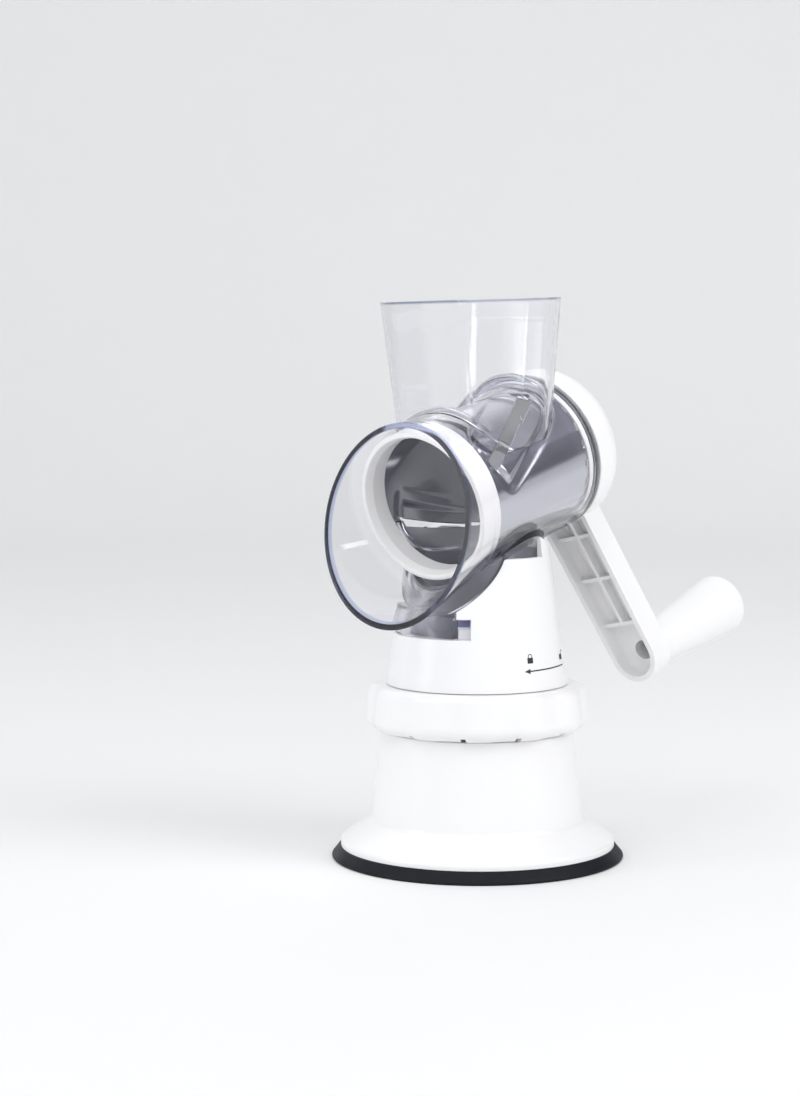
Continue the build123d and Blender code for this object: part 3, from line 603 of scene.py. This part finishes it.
def inkLock(shape, anchor, opened):
    half, tall, reach = markLook["lockWidth"] / 2, markLook["lockHeight"], markLook["shackle"]
    steps, bends = markLook["lockSteps"], markLook["shackleSteps"]
    columns = [half * (2 * step / steps - 1) for step in range(steps + 1)]
    inkStrip(shape, [columnPlace(anchor, x, 0) for x in columns], [columnPlace(anchor, x, tall) for x in columns])
    middle = reach * markLook["shackleShift"] if opened else 0.0
    rise = tall + markLook["shackleRise"]
    inner, outer = [], []
    turns = [math.pi * bend / bends for bend in range(bends + 1)]
    legs = [(-1.0, 0.0)] + [(-math.cos(turn), math.sin(turn)) for turn in turns]
    legs += [] if opened else [(1.0, 0.0)]
    for index, (side, up) in enumerate(legs):
        low = tall if index == 0 or (not opened and index == len(legs) - 1) else rise
        for row, radius in ((inner, reach - markLook["shackleLine"]), (outer, reach)):
            row.append(columnPlace(anchor, middle + radius * side, low + radius * up))
    inkStrip(shape, inner, outer)


def makeMarks():
    shape = bmesh.new()
    inkLock(shape, markLook["closedLock"], False)
    inkLock(shape, markLook["openLock"], True)
    (startAngle, startHeight), (endAngle, endHeight) = markLook["arrow"]
    steps, half = markLook["arrowSteps"], markLook["line"]
    lower, upper = [], []
    for step in range(steps + 1):
        share = step / steps
        angle = math.radians(startAngle + (endAngle - startAngle) * share)
        height = startHeight + (endHeight - startHeight) * share
        lower.append(columnPoint(angle, height - half))
        upper.append(columnPoint(angle, height + half))
    inkStrip(shape, lower, upper)
    ahead, back, wide = markLook["head"]
    tip = (endAngle, endHeight)
    head = [columnPlace(tip, -ahead, 0), columnPlace(tip, back, -wide), columnPlace(tip, back, wide)]
    shape.faces.new([shape.verts.new(point) for point in head])
    mesh = finishMesh(shape, "lockMarks")
    newPiece("lockMarks", mesh, "base", printInk)
    print("lock marks printed")


makeMarks()

# studio: round sweep, soft lights and the camera
stageLook = {
    "floorRadius": 1.9, "curve": 0.9, "curveSteps": 16, "wall": 1.6, "segments": 128, "aim": (0, 0, 0.12),
    "colour": (0.875, 0.875, 0.875), "second": (0.90, 0.90, 0.90), "toneScale": 1.5, "toneDetail": 2.0,
    "shade": (0.18, 0.18, 0.21), "roughness": 0.6,
    "shadeSide": (0.5, 0.866, 0.0), "shadeFrom": (2.0, 2.6), "shadeHeight": (0.15, 0.45),
    "sky": (0.98, 0.99, 1.0), "skyStrength": 0.975, "darkSky": (0.28, 0.28, 0.33), "darkAhead": (0.433, 0.75, 0.5),
    "darkFrom": (0.60, 0.90),
    "lights": [
        {"name": "keySoft", "from": (1.32, 0.35, 1.00), "size": (0.9, 0.9), "power": 10.0, "tint": (1, 0.99, 0.98)},
        {"name": "frontSoft", "from": (0.25, -1.15, 1.45), "size": (1.0, 0.8), "power": 4.8, "tint": (1, 1, 1)},
        {"name": "windowSoft", "from": (-0.80, -1.39, 0.58), "size": (0.60, 0.85), "power": 12.5,
         "tint": (0.98, 0.99, 1), "fade": 0.42},
    ],
}


def makeSweep():
    look = stageLook
    profile = [(0.0, 0.0), (look["floorRadius"], 0.0)]
    for step in range(1, look["curveSteps"] + 1):
        turn = math.pi / 2 * step / look["curveSteps"]
        profile.append((look["floorRadius"] + look["curve"] * math.sin(turn), look["curve"] * (1 - math.cos(turn))))
    profile.append((look["floorRadius"] + look["curve"], look["wall"]))
    mesh = turnedMesh("studioSweep", [(r * 1000, z * 1000) for r, z in profile], look["segments"])
    material, tree, shader = startFinish("studioPaper")
    place = tree.nodes.new("ShaderNodeTexCoord").outputs["Object"]
    cloud = noiseNode(tree, place, look["toneScale"], look["toneDetail"])
    tone = mixColour(tree, cloud, look["colour"], look["second"])
    height = tree.nodes.new("ShaderNodeSeparateXYZ")
    tree.links.new(place, height.inputs[0])
    aside = rangeNode(tree, alongNode(tree, place, look["shadeSide"]), *look["shadeFrom"], 0.0, 1.0)
    raised = rangeNode(tree, height.outputs["Z"], *look["shadeHeight"], 0.0, 1.0)
    shade = mathNode(tree, "MULTIPLY", aside, raised)  # the wall is darker to the right, behind the crank
    tree.links.new(mixColour(tree, shade, tone, look["shade"]), shader.inputs["Base Color"])
    shader.inputs["Roughness"].default_value = look["roughness"]
    sweep = newPiece("studioSweep", mesh, None, material)
    mesh.flip_normals()


def fadeEdges(lamp, width):  # light that dies away towards the lamp's edges, as from a curtained window
    lamp.use_nodes = True
    tree = lamp.node_tree
    glow = tree.nodes["Emission"]
    place = tree.nodes.new("ShaderNodeSeparateXYZ")
    tree.links.new(tree.nodes.new("ShaderNodeNewGeometry").outputs["Parametric"], place.inputs[0])
    rises = [rangeNode(tree, place.outputs[axis], *span, 0.0, 1.0)
             for axis in ("X", "Y") for span in ((0.0, width), (1.0, 1.0 - width))]
    strength = mathNode(tree, "MULTIPLY", mathNode(tree, "MULTIPLY", rises[0], rises[1]),
                        mathNode(tree, "MULTIPLY", rises[2], rises[3]))
    tree.links.new(strength, glow.inputs["Strength"])


def makeLights():
    look = stageLook
    world = bpy.data.worlds.new("softRoom")
    world.use_nodes = True
    tree = world.node_tree
    sky = tree.nodes["Background"]
    place = tree.nodes.new("ShaderNodeTexCoord").outputs["Generated"]
    ahead = alongNode(tree, place, look["darkAhead"])  # the room is darker on that side too
    dark = rangeNode(tree, ahead, *look["darkFrom"], 0.0, 1.0)
    tree.links.new(mixColour(tree, dark, look["sky"], look["darkSky"]), sky.inputs["Color"])
    sky.inputs["Strength"].default_value = look["skyStrength"]
    bpy.context.scene.world = world
    for lamp in look["lights"]:
        data = bpy.data.lights.new(lamp["name"], "AREA")
        data.shape = "RECTANGLE"
        data.size, data.size_y = lamp["size"]
        data.energy = lamp["power"]
        data.color = lamp["tint"]
        if "fade" in lamp:
            fadeEdges(data, lamp["fade"])
        light = bpy.data.objects.new(lamp["name"], data)
        light.location = lamp["from"]
        light.visible_camera = False
        light.rotation_mode = "QUATERNION"
        light.rotation_quaternion = (Vector(look["aim"]) - Vector(lamp["from"])).to_track_quat("-Z", "Y")
        bpy.context.scene.collection.objects.link(light)
    bpy.context.scene.view_settings.view_transform = "Standard"
    print("studio set")


makeSweep()
makeLights()

cameraLook = {"place": (0.6552, -0.7948, 0.2171), "azimuth": 39.5, "yaw": 1.905, "pitch": 4.411, "roll": -0.158,
              "focalPixels": 2328.3, "imageHeight": 1096, "sensor": 36.0, "clip": (0.02, 30.0)}


def makeCamera():
    look = cameraLook
    turn, yaw = math.radians(look["azimuth"]), math.radians(look["yaw"])
    pitch, roll = math.radians(look["pitch"]), math.radians(look["roll"])
    ahead = Vector((-math.sin(turn), math.cos(turn), 0))
    right = Vector((math.cos(turn), math.sin(turn), 0))
    upward = Vector((0, 0, 1))
    ahead, right = (ahead * math.cos(yaw) - right * math.sin(yaw), right * math.cos(yaw) + ahead * math.sin(yaw))
    ahead, upward = (ahead * math.cos(pitch) - upward * math.sin(pitch),
                     upward * math.cos(pitch) + ahead * math.sin(pitch))
    right, upward = (right * math.cos(roll) + upward * math.sin(roll),
                     upward * math.cos(roll) - right * math.sin(roll))
    data = bpy.data.cameras.new("photoCamera")
    data.sensor_width = look["sensor"]
    data.lens = look["focalPixels"] / look["imageHeight"] * data.sensor_width
    data.clip_start, data.clip_end = look["clip"]
    camera = bpy.data.objects.new("photoCamera", data)
    axes = Matrix((right, upward, -ahead)).transposed()
    camera.matrix_world = Matrix.Translation(look["place"]) @ axes.to_4x4()
    bpy.context.scene.collection.objects.link(camera)
    bpy.context.scene.camera = camera
    print("camera placed")


makeCamera()
